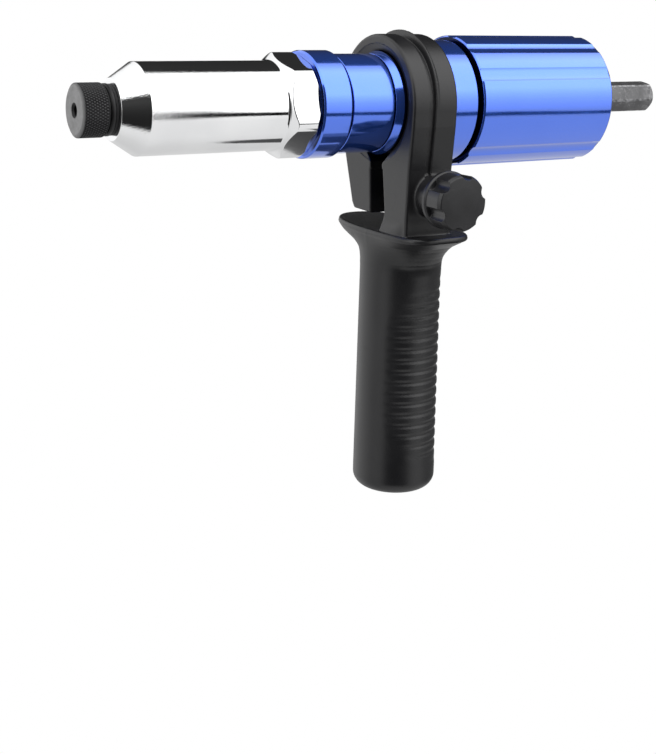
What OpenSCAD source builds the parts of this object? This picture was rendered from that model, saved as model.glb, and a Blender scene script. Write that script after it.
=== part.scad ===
// Rivet drill adapter: turns the rotation of a drill into the straight pull
// that sets a blind rivet. Millimetres. The tool axis is X, the nose points to
// -X, the hex shank to +X, the side handle hangs down along -Z. The origin is
// on the tool axis where the shank leaves the rear sleeve.

/* [Shank] */
// Hex shank, width across flats
shank_af = 10; // [9.5:0.5:10]
// Length of the hex shank behind the sleeve
shank_len = 36; // [25:1:45]

/* [Rear sleeve] */
// Outer radius of the rear sleeve
sleeve_r = 22; // [21.5:0.1:23]
// Length of the rear sleeve
sleeve_len = 56.2; // [56.2:0.1:56.2]
// Depth of the grip flutes
flute_depth = 0.55; // [0.3:0.05:0.8]

/* [Barrel] */
// Radius of the front ring of the barrel
ring1_r = 17.2; // [16.8:0.1:17.4]
// Radius of the second section
sect2_r = 16.05; // [15.8:0.05:16.4]
// Radius of the seat that carries the side handle
seat_r = 16.95; // [16.95:0.01:16.95]
// Radius of the rear collar
collar_r = 20.5; // [20:0.1:20.8]

/* [Nose] */
// Radius of the polished nose sleeve
nose_r = 14.05; // [13.8:0.05:14.3]
// Spanner size of the nose sleeve, across flats
nose_af = 30; // [29:0.5:30]
// Radius of the knurled head of the nosepiece
knurl_r = 8.05; // [7.8:0.05:8.4]
// Radius of the mandrel hole
mandrel_r = 1.7; // [1.2:0.1:1.7]

/* [Mechanism] */
// Pitch of the lead screw
screw_pitch = 2; // [2:1:2]
// Travel of the pull tube
stroke = 12; // [8:1:12]
// Half angle of the cone that closes the jaws, degrees
cone_angle = 10; // [10:1:10]

/* [Side handle] */
// Radius of the grip near its lower end
grip_r = 14.26; // [13.5:0.02:14.5]
// Lowest point of the grip below the tool axis
grip_low = 134; // [120:1:145]
// Inner radius of the clamp ring
clamp_r = 17.0; // [17:0.01:17.02]
// Outer radius of the clamp ring
ring_r = 22.4; // [22:0.1:23]
// Radius of the clamping knob
knob_r = 9.2; // [9:0.1:9.8]

/* [Hidden] */

// stations along the tool axis
face_x = -188;                  // flat front face of the nosepiece
knurl_end = -179.9;
nose_front = -177.1;            // small front face of the nose sleeve
cone_end = -169.8;              // where the nose cone meets the cylinder
hex_front = -124.4;
ring1_x = -114;                 // front face of the barrel's first ring
ring1_end = -104;
sect2_end = -87.4;
clamp_x0 = -84.5;               // front and rear of the clamp ring
clamp_x1 = -67.3;
clamp_mid = (clamp_x0 + clamp_x1) / 2 + 0.7;   // the knob sits a little behind the ring's middle
collar_x = -67.0;
sleeve_x = -sleeve_len;
grip_x = -72.3;                 // axis of the grip
bolt_z = -28.5;                 // axis of the clamp bolt
flange_z = -41.8;               // top of the finger guard
guard_x = -72.6;                // middle of the finger guard
spindle_turn = 10;               // tilt of the hex about its axis, degrees
hex_turn = 18.4;               // tilt of the spanner hex
// flutes of the rear sleeve: three groups of three, measured from -Y towards +Z
flutes = [28, 57, 86, 143, 171, 200, 257, 286, 315];
jaw_back = 3;                   // jaws stand this far back from closed
tc = tan(cone_angle);
ac = 1 / cos(30);

// a solid of revolution about the tool axis; p holds [x, radius] points
module turned(p) {
    rotate([0, 90, 0]) rotate_extrude($fn = 96) polygon([for (q = p) [q[1], q[0]]]);
}
// a straight cylinder along X
module rod(x0, x1, r) {
    translate([x0, 0, 0]) rotate([0, 90, 0]) cylinder(h = x1 - x0, r = r, $fn = 96);
}
// a hexagonal prism along X, af across flats
module hexrod(x0, x1, af, turn = 0) {
    translate([x0, 0, 0]) rotate([turn, 0, 0]) rotate([0, 90, 0])
        rotate([0, 0, 30]) cylinder(h = x1 - x0, r = af / 2 * ac, $fn = 6);
}
// a flat ring along X
module washer(x0, x1, ri, ro) {
    turned([[x0, ri], [x1, ri], [x1, ro - 0.2], [x1 - 0.2, ro], [x0 + 0.2, ro], [x0, ro - 0.2]]);
}

// ---------------------------------------------------------------- nose
module nosepiece() color("#2b2d30") {
    turned([[face_x, mandrel_r + 0.65], [face_x + 0.65, mandrel_r], [-158.4, mandrel_r],
            [-158.4, 2.4], [-157.9 - 1.2, 2.9], [-168, 2.9], [-168, 5.4], [-168.6, 6],
            [nose_front - 0.9, 6], [nose_front - 0.9, 7.5], [-178.3, 7.75], [-179.0, 7.75],
            [-179.3, 7.45], [-179.3, 7.1], [knurl_end, 7.1], [knurl_end, knurl_r - 0.3],
            [knurl_end - 0.4, knurl_r], [face_x + 0.55, knurl_r], [face_x, knurl_r - 1.15]]);
}
module nose_washer() color("#1a1a1b") washer(nose_front - 0.88, nose_front - 0.02, 6.06, 7.6);

module nose_sleeve() color("#d4d8dc") {
    difference() {
        intersection() {
            turned([[nose_front, 0], [nose_front, 9.1], [nose_front + 0.3, 9.4],
                    [cone_end, nose_r], [hex_front - 0.4, nose_r], [hex_front + 0.2, 14.6],
                    [hex_front + 2.2, 16.7], [ring1_x - 1.6, 16.7],
                    [ring1_x - 0.1, 15.2], [ring1_x - 0.1, 0]]);
            union() {
                rod(nose_front, hex_front - 0.19, nose_r + 2);
                hexrod(hex_front - 0.2, ring1_x - 0.1, nose_af, hex_turn);
            }
        }
        rod(nose_front - 1, -168.4, 6.05);
        turned([[-168.5, 0], [-168.5, 9.5], [-167, 11], [-126.9, 11], [-126.9, 13.05],
                [ring1_x, 13.05], [ring1_x, 0]]);
    }
}

// ---------------------------------------------------------------- housing
module barrel() color("#1f52d8") {
    difference() {
        turned([[-126.5, 10.5], [-126.5, 12.4], [-125.9, 13], [ring1_x, 13],
                [ring1_x, ring1_r - 0.5], [ring1_x + 0.5, ring1_r], [ring1_end - 0.3, ring1_r],
                [ring1_end, ring1_r - 0.3], [ring1_end, 15.6], [ring1_end + 0.6, 15.6],
                [ring1_end + 0.6, sect2_r - 0.2], [ring1_end + 0.8, sect2_r],
                [sect2_end - 0.3, sect2_r], [sect2_end, sect2_r - 0.3], [sect2_end, 15.5],
                [sect2_end + 0.5, 15.5], [sect2_end + 0.5, 16.1], [-85.3, seat_r],
                [collar_x, seat_r], [collar_x, collar_r - 0.5], [collar_x + 0.5, collar_r],
                [-57.9, collar_r], [-57.35, collar_r - 0.55], [-57.2, 19.6], [-57.2, 18.6],
                [-56.1, 18.6], [-56.1, 19.1], [-32.6, 19.1], [-32, 18.5], [-32, 15.2],
                [-42, 15.2], [-42, 7.7], [-47, 7.7], [-47, 10.5]]);
        // keyways for the two guide keys
        translate([-127, -12.5, -2]) cube([43, 25, 4]);
    }
}
module guide_keys() color("#8d9095") {
    for (s = [0, 180]) rotate([s, 0, 0]) translate([-100, 8.9, -1.98]) cube([15.9, 3.55, 3.96]);
}
module rear_sleeve() color("#1f52d8") {
    difference() {
        turned([[sleeve_x, 19.2], [sleeve_x, sleeve_r - 0.4], [sleeve_x + 0.4, sleeve_r],
                [-1.0, sleeve_r], [-0.3, sleeve_r - 0.25], [0, sleeve_r - 0.8], [0, 9], [-3.6, 9],
                [-3.6, 7.6], [-5.2, 7.6], [-5.2, 14], [-13.3, 14], [-13.3, 15], [-14.5, 15],
                [-14.5, 14.4], [-15.1, 15], [-18, 16.5], [-31.4, 16.5], [-31.4, 19.2]]);
        for (a = flutes) rotate([-a, 0, 0]) translate([sleeve_x - 1, -(sleeve_r + 6 - flute_depth), 0])
            rotate([0, 90, 0]) cylinder(h = sleeve_len + 2, r = 6, $fn = 64);
    }
}

// ---------------------------------------------------------------- jaws and pull tube
module jaw_case() color("#6d7075") {
    turned([[-165, 3.3], [-164, 3.3 - 0.1], [-140, 3.2 + 24 * tc], [-140, 7.55],
            [-130, 7.55], [-130, 10], [-130.4, 10.4], [-160, 10.4], [-165, 7.4]]);
}
module lock_ring() color("#55585c") {
    difference() {
        turned([[-130, 7.55], [-127, 7.55], [-127, 9.9], [-127.3, 10.2], [-129.7, 10.2], [-130, 9.9]]);
        for (a = [0 : 60 : 300]) rotate([a, 0, 0]) translate([-130.1, 9.3, -1]) cube([3.2, 2, 2]);
    }
}
// one jaw, drawn closed and set back along the cone to where it rests, open
module jaw(az) color("#7b7f86") {
    rotate([az, 0, 0])
        translate([jaw_back * cos(cone_angle), 0, jaw_back * sin(cone_angle)])
            difference() {
                turned([[-161, 1.35], [-161, 3.2 + 3 * tc - 0.08], [-143.5, 3.2 + 20.5 * tc - 0.08],
                        [-143.5, 1.7], [-160, 1.35]]);
                // cut to a third of a turn
                for (t = [-60, -120]) rotate([t, 0, 0])
                    translate([-165, -0.25, -12]) cube([25, 24, 24]);
                translate([-165, -12, -24]) cube([25, 24, 24]);
            }
}
module jaw_1() jaw(0);
module jaw_2() jaw(120);
module jaw_3() jaw(240);
module jaw_pusher() color("#8d9095") {
    turned([[-140.45, 1.7], [-140.45, 5.6], [-139.7, 6.3], [-138.45, 6.3], [-138.45, 3.2],
            [-130, 3.2], [-130, 1.7]]);
}
// points of a helix along X, and the closed tube swept along it
function coil_pt(t, r, x0, len, turns) = [x0 + len * t, r * cos(360 * turns * t), r * sin(360 * turns * t)];
module coil(x0, len, r, wire, turns, per_turn = 16, sides = 6) {
    n = turns * per_turn;
    pts = [for (i = [0 : n]) let (t = i / n, p = coil_pt(t, r, x0, len, turns), a = 360 * turns * t)
           for (j = [0 : sides - 1]) let (b = 360 * j / sides)
           [p[0] + wire * sin(b), p[1] + wire * cos(b) * cos(a), p[2] + wire * cos(b) * sin(a)]];
    faces = concat(
        [[for (j = [0 : sides - 1]) j]],
        [for (i = [0 : n - 1]) for (j = [0 : sides - 1])
            let (a = i * sides + j, b = i * sides + (j + 1) % sides) [a, a + sides, b + sides]],
        [for (i = [0 : n - 1]) for (j = [0 : sides - 1])
            let (a = i * sides + j, b = i * sides + (j + 1) % sides) [a, b + sides, b]],
        [[for (j = [0 : sides - 1]) n * sides + sides - 1 - j]]);
    polyhedron(pts, faces, convexity = 8);
}
module jaw_spring() color("#a4a8ad") coil(-137.85, 27.2, 4.25, 0.5, 9);

module pull_tube() color("#6d7075") {
    difference() {
        turned([[-138, 5.0], [-138, 7.1], [-137.6, 7.5], [-127, 7.5], [-127, 10], [-126.6, 10.4],
                [-61, 10.4], [-60.5, 9.9], [-60.5, 6.05], [-98, 6.05], [-99.5, 2.2],
                [-110, 2.2], [-110, 5.0]]);
        // slots that run on the guide keys
        for (s = [0, 180]) rotate([s, 0, 0]) translate([-113, 8.8, -2.05]) cube([30, 4, 4.1]);
    }
}

// ---------------------------------------------------------------- drive
module drive_spindle() color("#4b4e52") {
    union() {
        turned([[-84, 0], [-84, 5.2], [-83.2, 6], [-44, 6], [-44, 7.4], [-33, 7.4], [-33, 14.2],
                [-32.7, 14.5], [-28.3, 14.5], [-28, 14.2], [-28, 9], [-20, 9], [-20, 8],
                [-13.25, 8], [-13.25, 6], [0.5, 6], [0.5, 0]]);
        intersection() {
            hexrod(0, shank_len, shank_af, spindle_turn);
            turned([[0, 0], [0, 7], [shank_len - 2.2, 7], [shank_len - 1.6, 5.7],
                    [shank_len - 0.35, 4.2], [shank_len, 3.6], [shank_len, 0]]);
        }
    }
}
module thrust_washer_fixed() color("#8d9095") washer(-41.98, -39.75, 8, 14);
module thrust_washer_turning() color("#8d9095") washer(-35.25, -33.02, 7.45, 14);
module thrust_balls() color("#b9bcc0") {
    // cage with the balls sitting in its pockets, one body
    union() {
        turned([[-38.1, 8.2], [-36.9, 8.2], [-36.9, 13.8], [-38.1, 13.8]]);
        for (a = [0 : 30 : 330]) rotate([a, 0, 0]) translate([-37.5, 0, 11]) sphere(r = 2.2, $fn = 32);
    }
}
module bearing_outer_ring() color("#9da0a5") {
    turned([[-13.2, 11.9], [-13.2, 13.6], [-12.8, 13.98], [-5.7, 13.98], [-5.3, 13.6], [-5.3, 11.9]]);
}
module bearing_inner_ring() color("#9da0a5") {
    turned([[-13.2, 6.0], [-5.3, 6.0], [-5.3, 8.1], [-13.2, 8.1]]);
}
module bearing_balls() color("#b9bcc0") {
    union() {
        turned([[-10.6, 9.2], [-7.9, 9.2], [-7.9, 10.8], [-10.6, 10.8]]);
        for (a = [0 : 45 : 315]) rotate([a, 0, 0]) translate([-9.25, 0, 10]) sphere(r = 1.82, $fn = 32);
    }
}
module retaining_ring() color("#3d4043") {
    difference() {
        turned([[-14.45, 12.6], [-13.35, 12.6], [-13.35, 14.9], [-14.45, 14.9]]);
        translate([-15, -2.2, 0]) cube([2, 4.4, 20]);
    }
}
module shaft_seal() color("#1a1a1b") {
    turned([[-3.55, 6.06], [-0.6, 6.06], [-0.2, 6.6], [-0.2, 8.98], [-3.55, 8.98]]);
}

// ---------------------------------------------------------------- side handle
// outline of the ring and the two legs in the YZ plane; grow moves the outside out
module clamp_outline(grow = 0) {
    difference() {
        union() {
            circle(r = ring_r + grow, $fn = 96);
            // near leg runs on down to the guard
            polygon([[0, 0], [-ring_r - grow, 0], [-22.2 - grow, -6], [-20.8 - grow, -20], [-20.1 - grow, -36],
                     [-20.0 - grow, -43], [-6.6, -43], [-6.6, -34], [-4.6, -19.6], [0, -14]]);
            // far leg ends free above the guard
            polygon([[0, 0], [ring_r + grow, 0], [21.9 + grow, -6], [18.6 + grow, -19],
                     [13.4 + grow, -35.0], [12.0 + grow, -36.8], [1.0, -37.0], [2.2, -19.6], [0, -14]]);
        }
        circle(r = clamp_r, $fn = 96);
        // split of the clamp
        polygon([[-4.6, -19.6], [-9.4, -14.2], [9.4, -14.2], [2.2, -19.6], [1.0, -50], [-6.6, -50], [-6.6, -34]]);
    }
}
module slab(x0, x1) {
    translate([x0, 0, 0]) rotate([90, 0, 90]) linear_extrude(height = x1 - x0) children();
}
// outline of the finger guard about its middle: squarer towards the knob, rounder away from it
function sgn(v) = v < 0 ? -1 : 1;
function guard_pt(a) = let (c = cos(a), s = sin(a), b = s >= 0 ? 30.4 : 26.6, m = s >= 0 ? 2.3 : 3.6)
    [14.5 * sgn(c) * pow(abs(c), 2 / m), b * sgn(s) * pow(abs(s), 2 / m)];
module guard_outline(n = 64) {
    translate([guard_x, 0.5]) polygon([for (k = [0 : n - 1]) guard_pt(360 * (k + 0.5) / n)]);
}
// the grip grows a little towards its lower end
neck_r = grip_r - 0.36;
function grip_rad(z) = neck_r + 0.36 * max(0, min(1, (-60 - z) / 66));
// rounded lower end of the grip
grip_end = [[grip_r, -grip_low + 5.5], [grip_r - 0.75, -grip_low + 2.9], [grip_r - 2.4, -grip_low + 1.05],
            [grip_r - 5.2, -grip_low], [0, -grip_low]];
// waisted neck between the guard and the grip: [height, share of the guard's outline on the far side, on the near side]
flare_rings = [[-43.65, 0.975, 0.94], [-44.5, 0.94, 0.84], [-45.5, 0.85, 0.68], [-46.5, 0.71, 0.52], [-48, 0.42, 0.38],
               [-49.5, 0.16, 0.27], [-51, 0.06, 0.17], [-53, 0.01, 0.06], [-55.4, 0, 0]];
function ring_pt(q, k, n) = let (p = guard_pt(360 * (k + 0.5) / n), g = norm(p), u = 0.5 + 0.5 * p[1] / g,
                                 w = q[2] * (1 - u) + q[1] * u, r = neck_r + 0.05 + w * (g - neck_r - 0.05))
    [guard_x + (grip_x - guard_x) * (1 - w) + r * p[0] / g, 0.5 * w + r * p[1] / g, q[0]];
module flare(n = 44) {
    m = len(flare_rings);
    pts = [for (q = flare_rings) for (k = [0 : n - 1]) ring_pt(q, k, n)];
    faces = concat([[for (k = [0 : n - 1]) n - 1 - k]],
        [for (i = [0 : m - 2]) for (k = [0 : n - 1])
            let (a = i * n + k, b = i * n + (k + 1) % n) [a, b, b + n]],
        [for (i = [0 : m - 2]) for (k = [0 : n - 1])
            let (a = i * n + k, b = i * n + (k + 1) % n) [a, b + n, a + n]],
        [[for (k = [0 : n - 1]) (m - 1) * n + k]]);
    polyhedron(pts, faces, convexity = 4);
}
// tapered foot: a slab of the leg at its top, wider to the front, the back and the inside at the guard
module leg_foot() {
    top = [clamp_x0 + 0.1, clamp_x1 - 0.1, -20.0, -6.7, -36.5];
    low = [clamp_x0 - 0.3, clamp_x1 + 0.9, -20.0, -5.9, -42.2];
    function corners(q) = [[q[0], q[2], q[4]], [q[1], q[2], q[4]], [q[1], q[3], q[4]], [q[0], q[3], q[4]]];
    polyhedron(concat(corners(low), corners(top)),
        [[0, 1, 2, 3], [4, 7, 6, 5], [0, 4, 5, 1], [1, 5, 6, 2], [2, 6, 7, 3], [3, 7, 4, 0]], convexity = 2);
}
module handle() color("#2c2d2f") {
    difference() {
        union() {
            // front band, groove, rear band, and the low rib that rises over the top behind the groove
            slab(clamp_x0, -78.05) clamp_outline(0);
            slab(-78.05, -75.95) clamp_outline(-1.1);
            slab(-75.95, clamp_x1) clamp_outline(0);
            slab(-75.95, -74.7) difference() {
                translate([0, 1.45]) circle(r = ring_r - 0.05, $fn = 96);
                circle(r = clamp_r + 1, $fn = 96);
                translate([-30, -30]) square([60, 33]);
            }
            // boss under the knob
            translate([clamp_mid, -18, bolt_z]) rotate([90, 0, 0]) cylinder(h = 9.2, r = 6.6, $fn = 64);
            // foot of the near leg, spread where it meets the guard
            leg_foot();
            // finger guard
            translate([0, 0, flange_z - 1.9]) linear_extrude(height = 1.9) guard_outline();
            // flare from the guard to the grip
            flare();
            // grip with its shallow grooves, and the smooth strip along its front
            translate([grip_x, 0, 0]) rotate_extrude($fn = 96) polygon(concat(
                [[0, flange_z - 5], [12, flange_z - 5], [12, flange_z - 10], [13.5, -54.9], [neck_r, -56.1]],
                [for (i = [0 : 17]) for (q = [[0, 1.05], [0.45, 0.5], [0.45, -0.5], [0, -1.05]])
                    let (z = -59.43 - 3.803 * i + q[1]) [grip_rad(z) - q[0], z]],
                grip_end));
            intersection() {
                translate([grip_x, 0, 0]) rotate_extrude($fn = 96) polygon(
                    [[0, -57.1], [neck_r + 0.04, -57.1], [neck_r + 0.04, -60], [grip_rad(-124.6) + 0.04, -124.6], [0, -124.6]]);
                translate([grip_x - 20, -15, -130]) cube([20 - grip_r * cos(37), 30, 80]);
            }
        }
        // recess inside the front lip
        turned([[clamp_x0 - 1, 0], [clamp_x0 - 1, 19.4], [clamp_x0, 19.4], [clamp_x0 + 0.9, clamp_r], [clamp_x0 + 0.9, 0]]);
        // bolt hole, and the pocket that holds the nut
        translate([clamp_mid, 30, bolt_z]) rotate([90, 0, 0]) cylinder(h = 60, r = 3.25, $fn = 48);
        translate([clamp_mid, 30, bolt_z]) rotate([90, 0, 0]) rotate([0, 0, 30]) cylinder(h = 20, r = 5.05 * ac, $fn = 6);
    }
}
module clamp_knob() color("#262729") {
    translate([clamp_mid, -28.3, bolt_z]) rotate([90, 0, 0]) {
        difference() {
            rotate_extrude($fn = 96) polygon([[3.0, 0], [9.0, 0], [9.4, 0.4], [9.4, 1.6], [9.3, 2], [knob_r, 2.0],
                                              [knob_r, 8.9], [knob_r - 0.9, 9.8], [0, 10.1], [0, 6], [3.0, 6]]);
            for (i = [0 : 5]) rotate([0, 0, 60 * i + 21]) translate([knob_r + 0.45, 0, 2]) cylinder(h = 12, r = 2.35, $fn = 48);
        }
    }
}
module clamp_bolt() color("#8d9095") {
    translate([clamp_mid, 0, bolt_z]) rotate([-90, 0, 0]) translate([0, 0, -34.3])
        rotate_extrude($fn = 48) polygon([[0, 0], [3, 0], [3, 50.1], [2.4, 50.8], [0, 50.8]]);
}
module clamp_washer() color("#9da0a5") {
    translate([clamp_mid, -27.25, bolt_z]) rotate([90, 0, 0]) difference() {
        cylinder(h = 1.0, r = 6.2, $fn = 64);
        translate([0, 0, -1]) cylinder(h = 3, r = 3.08, $fn = 64);
    }
}
module clamp_nut() color("#8d9095") {
    translate([clamp_mid, 15.0, bolt_z]) rotate([90, 0, 0]) difference() {
        rotate([0, 0, 30]) cylinder(h = 4.95, r = 5 * ac, $fn = 6);
        translate([0, 0, -1]) cylinder(h = 8, r = 3.05, $fn = 64);
    }
}

nosepiece();
nose_washer();
nose_sleeve();
barrel();
rear_sleeve();
jaw_case();
lock_ring();
jaw_1();
jaw_2();
jaw_3();
jaw_pusher();
jaw_spring();
pull_tube();
guide_keys();
drive_spindle();
thrust_washer_fixed();
thrust_balls();
thrust_washer_turning();
bearing_outer_ring();
bearing_balls();
bearing_inner_ring();
retaining_ring();
shaft_seal();
handle();
clamp_knob();
clamp_bolt();
clamp_washer();
clamp_nut();
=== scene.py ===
"""Rivet drill adapter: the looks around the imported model. Lengths in the mesh code are millimetres in the row frame."""
import math

import bmesh
import bpy
import numpy as np
from mathutils import Matrix, Vector


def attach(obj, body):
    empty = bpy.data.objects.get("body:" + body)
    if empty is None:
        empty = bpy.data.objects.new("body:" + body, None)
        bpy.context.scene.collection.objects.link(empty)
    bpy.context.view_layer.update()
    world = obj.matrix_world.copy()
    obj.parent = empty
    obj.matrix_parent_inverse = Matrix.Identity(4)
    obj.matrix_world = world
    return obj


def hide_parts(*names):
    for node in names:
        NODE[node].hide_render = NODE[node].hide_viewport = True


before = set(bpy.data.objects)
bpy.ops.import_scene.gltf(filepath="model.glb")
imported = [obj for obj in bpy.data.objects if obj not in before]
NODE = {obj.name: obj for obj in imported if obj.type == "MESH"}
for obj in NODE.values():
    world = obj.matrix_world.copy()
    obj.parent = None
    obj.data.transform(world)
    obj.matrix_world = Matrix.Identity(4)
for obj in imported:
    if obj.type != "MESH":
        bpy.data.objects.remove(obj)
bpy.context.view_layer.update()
MM = 0.001
scene = bpy.context.scene


# ------------------------------------------------------------------ camera
def make_camera():
    az, el, roll = math.radians(32.42), math.radians(11.74), math.radians(-1.70)
    fwd = Vector((math.sin(az) * math.cos(el), math.cos(az) * math.cos(el), -math.sin(el)))
    right0 = Vector((fwd.y, -fwd.x, 0)).normalized()
    down0 = fwd.cross(right0)
    right = (right0 * math.cos(roll) + down0 * math.sin(roll)).normalized()
    down = fwd.cross(right).normalized()
    data = bpy.data.cameras.new("camera")
    data.sensor_fit = "HORIZONTAL"
    data.sensor_width = 36.0
    data.lens = 1349.0 / 656.0 * 36.0
    data.shift_x = (328.0 - 360.0) / 656.0
    data.shift_y = (262.5 - 377.0) / 656.0
    data.clip_start, data.clip_end = 0.01, 50.0
    cam = bpy.data.objects.new("camera", data)
    rot = Matrix((right, -down, -fwd)).transposed()
    cam.matrix_world = Matrix.Translation(Vector((-326.1, -373.7, 38.7)) * MM) @ rot.to_4x4()
    scene.collection.objects.link(cam)
    scene.camera = cam


make_camera()


# ------------------------------------------------------------------ node helpers
class Mat:
    """A material with a few short ways to add and join nodes."""

    def __init__(self, name, color, metallic=0.0, roughness=0.5, **sockets):
        self.m = bpy.data.materials.new(name)
        self.m.use_nodes = True
        self.m.diffuse_color = (*color, 1)
        self.nt = self.m.node_tree
        self.p = self.nt.nodes["Principled BSDF"]
        self.p.inputs["Base Color"].default_value = (*color, 1)
        self.p.inputs["Metallic"].default_value = metallic
        self.p.inputs["Roughness"].default_value = roughness
        for k, v in sockets.items():
            self.p.inputs[k.replace("_", " ")].default_value = v
        self.coord = None

    def add(self, kind, **props):
        n = self.nt.nodes.new(kind)
        for k, v in props.items():
            setattr(n, k, v)
        return n

    def put(self, sock, value):
        if isinstance(value, bpy.types.NodeSocket):
            self.nt.links.new(value, sock)
        else:
            sock.default_value = value

    def obj(self):
        if self.coord is None:
            self.coord = self.add("ShaderNodeTexCoord").outputs["Object"]
        return self.coord

    def math(self, op, a, b=0.0, c=0.0, clamp=False):
        n = self.add("ShaderNodeMath", operation=op, use_clamp=clamp)
        self.put(n.inputs[0], a)
        self.put(n.inputs[1], b)
        self.put(n.inputs[2], c)
        return n.outputs[0]

    def vec(self, op, a, b):
        n = self.add("ShaderNodeVectorMath", operation=op)
        self.put(n.inputs[0], a)
        self.put(n.inputs[1], b)
        return n.outputs[0]

    def xyz(self, v=None):
        n = self.add("ShaderNodeSeparateXYZ")
        self.put(n.inputs[0], v or self.obj())
        return n.outputs

    def join(self, x, y, z):
        n = self.add("ShaderNodeCombineXYZ")
        for s, v in zip(n.inputs, (x, y, z)):
            self.put(s, v)
        return n.outputs[0]

    def noise(self, scale, detail=2.0, rough=0.5, vector=None, distortion=0.0):
        n = self.add("ShaderNodeTexNoise")
        self.put(n.inputs["Vector"], vector or self.obj())
        n.inputs["Scale"].default_value = scale
        n.inputs["Detail"].default_value = detail
        n.inputs["Roughness"].default_value = rough
        n.inputs["Distortion"].default_value = distortion
        return n.outputs["Fac"]

    def voronoi(self, scale, feature="F1", vector=None):
        n = self.add("ShaderNodeTexVoronoi", feature=feature)
        self.put(n.inputs["Vector"], vector or self.obj())
        n.inputs["Scale"].default_value = scale
        return n.outputs["Distance"]

    def ramp(self, fac, stops):
        n = self.add("ShaderNodeValToRGB")
        self.put(n.inputs[0], fac)
        e = n.color_ramp.elements
        while len(e) < len(stops):
            e.new(0.5)
        for el, (pos, col) in zip(e, stops):
            el.position = pos
            el.color = (col, col, col, 1) if isinstance(col, (int, float)) else (*col, 1)
        return n.outputs[0]

    def span(self, v, a, b, lo=0.0, hi=1.0):
        n = self.add("ShaderNodeMapRange")
        self.put(n.inputs["Value"], v)
        for k, x in (("From Min", a), ("From Max", b), ("To Min", lo), ("To Max", hi)):
            n.inputs[k].default_value = x
        return n.outputs[0]

    def mix(self, fac, a, b):
        n = self.add("ShaderNodeMix", data_type="RGBA")
        self.put(n.inputs[0], fac)
        for s, v in ((n.inputs[6], a), (n.inputs[7], b)):
            self.put(s, (*v, 1) if isinstance(v, tuple) and len(v) == 3 else v)
        return n.outputs[2]

    def attr(self, name):
        return self.add("ShaderNodeAttribute", attribute_name=name).outputs["Fac"]

    def bump(self, height, dist_mm, strength=1.0, normal=None):
        n = self.add("ShaderNodeBump")
        n.inputs["Strength"].default_value = strength
        n.inputs["Distance"].default_value = dist_mm * MM
        self.put(n.inputs["Height"], height)
        if normal is not None:
            self.put(n.inputs["Normal"], normal)
        self.nt.links.new(n.outputs[0], self.p.inputs["Normal"])
        return n.outputs[0]

    def color(self, v):
        self.put(self.p.inputs["Base Color"], v)

    def rough(self, v):
        self.put(self.p.inputs["Roughness"], v)

    def around(self, stretch=1.0):
        """(x, angle round the tool axis, 0) in metres of arc at 20 mm: for marks that run along or round a turned part."""
        s = self.xyz()
        ang = self.math("ARCTAN2", s[2], s[1])
        return s[0], self.math("MULTIPLY", ang, 0.02)


def chrome():
    m = Mat("polished_chrome", (0.90, 0.905, 0.915), 1.0, 0.05)
    x, arc = m.around()
    lines = m.noise(1.0, 3, 0.6, m.join(m.math("MULTIPLY", x, 5200.0), m.math("MULTIPLY", arc, 60.0), 0.0))
    spots = m.noise(2600.0, 2, 0.6)
    pits = m.ramp(m.voronoi(900.0), [(0.0, 1.0), (0.10, 0.0)])
    gate = m.ramp(m.noise(420.0, 2), [(0.56, 0.0), (0.62, 1.0)])
    m.rough(m.span(m.noise(240.0, 3, 0.6), 0.3, 0.75, 0.035, 0.080))
    front = m.span(x, -0.128, -0.168, 0.25, 4.5)
    h = m.math("ADD", m.math("MULTIPLY", lines, 0.04), m.math("MULTIPLY", m.math("MULTIPLY", spots, front), 0.60))
    h = m.math("SUBTRACT", h, m.math("MULTIPLY", m.math("MULTIPLY", pits, gate), 0.2))
    m.bump(h, 0.020, 0.6)
    m.color(m.mix(m.span(m.noise(60.0, 2), 0.35, 0.7), (0.86, 0.865, 0.875), (0.93, 0.935, 0.94)))
    return m.m


def anodised(name, streaks):
    m = Mat(name, (0.075, 0.20, 0.87), 0.86, 0.2, Coat_Weight=1.0, Coat_Roughness=0.07, Coat_IOR=1.7)
    x, arc = m.around()
    fine = m.noise(1.0, 3, 0.65, m.join(m.math("MULTIPLY", x, 3800.0), m.math("MULTIPLY", arc, 90.0), 0.0))
    axial = m.noise(1.0, 3, 0.6, m.join(m.math("MULTIPLY", x, 14.0), m.math("MULTIPLY", arc, 1500.0), 3.0))
    cloud = m.noise(55.0, 3, 0.5)
    tone = m.math("ADD", m.math("MULTIPLY", cloud, 0.55), m.math("MULTIPLY", axial, 0.45 * streaks))
    # painted shade: where the mesh's shade attribute is set, the colour is pulled to near-black blue and the coat is
    # taken away, so those places read as shaded
    m.color(m.mix(m.attr("painted_shade"), m.mix(m.span(tone, 0.3, 0.75), (0.056, 0.178, 0.88), (0.068, 0.200, 0.94)), (0.003, 0.006, 0.030)))
    m.put(m.p.inputs["Coat Weight"], m.math("SUBTRACT", 1.0, m.attr("painted_shade")))
    m.rough(m.math("ADD", m.span(cloud, 0.3, 0.7, 0.11, 0.16), m.span(axial, 0.3, 0.7, -0.01, 0.035 * streaks)))
    h = m.math("ADD", m.math("MULTIPLY", fine, 0.5), m.math("MULTIPLY", axial, 0.5 * streaks))
    m.bump(h, 0.0022, 0.6)
    return m.m


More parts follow.
